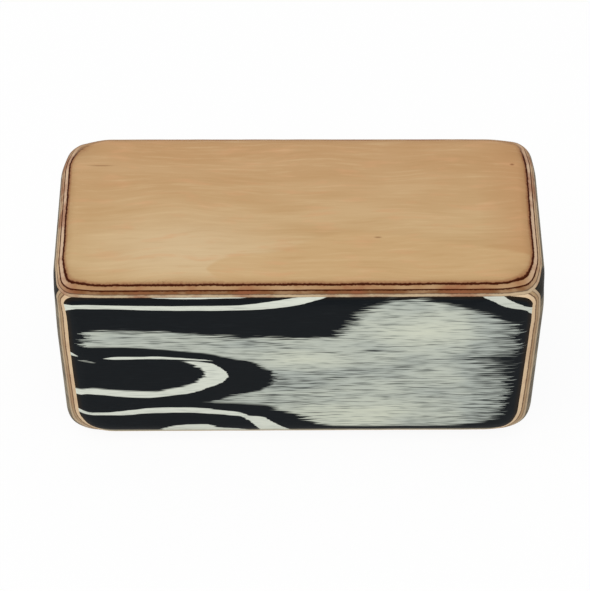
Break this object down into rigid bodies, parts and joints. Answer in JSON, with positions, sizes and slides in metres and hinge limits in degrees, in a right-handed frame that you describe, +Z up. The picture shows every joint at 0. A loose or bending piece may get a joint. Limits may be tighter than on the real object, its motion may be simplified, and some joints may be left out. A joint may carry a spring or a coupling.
{
  "type": "wooden box shaker",
  "caption": "Hand-held wooden box shaker: rounded plywood box with a natural top, dark figured veneer walls and loose steel shot that slides inside.",
  "frame": {"origin": "middle of the underside", "axes": "+X along the length, the front faces -Y, +Z up"},
  "size_m": [0.12, 0.054, 0.06],
  "materials": {
    "natural_face": "fine sanded, clear satin",
    "pale_ply": "sanded",
    "brown_ply": "sanded",
    "figured_veneer": "fine sanded, clear satin",
    "end_board": "fine sanded, clear satin",
    "steel_shot": "polished"
  },
  "bodies": {
    "box": {"top_face_ply": "natural_face", "top_second_ply": "pale_ply", "top_third_ply": "brown_ply", "top_inner_ply": "pale_ply", "bottom_face_ply": "natural_face", "bottom_second_ply": "pale_ply", "bottom_third_ply": "brown_ply", "bottom_inner_ply": "pale_ply", "front_veneer": "figured_veneer", "front_outer_ply": "pale_ply", "front_core_ply": "brown_ply", "front_inner_ply": "pale_ply", "back_veneer": "figured_veneer", "back_outer_ply": "pale_ply", "back_core_ply": "brown_ply", "back_inner_ply": "pale_ply", "left_end_board": "end_board", "right_end_board": "end_board"},
    "left_shot_group": {"left_shot": "steel_shot"},
    "middle_shot_group": {"middle_shot": "steel_shot"},
    "right_shot_group": {"right_shot": "steel_shot"}
  },
  "joints": [
    {"name": "left_shot_slide", "type": "slide", "parent": "box", "child": "left_shot_group", "axis": [0, 1, 0], "range_m": [-0.0169, 0.0169]},
    {"name": "middle_shot_slide", "type": "slide", "parent": "box", "child": "middle_shot_group", "axis": [0, 1, 0], "range_m": [-0.0169, 0.0169]},
    {"name": "right_shot_slide", "type": "slide", "parent": "box", "child": "right_shot_group", "axis": [0, 1, 0], "range_m": [-0.0169, 0.0169]}
  ]
}
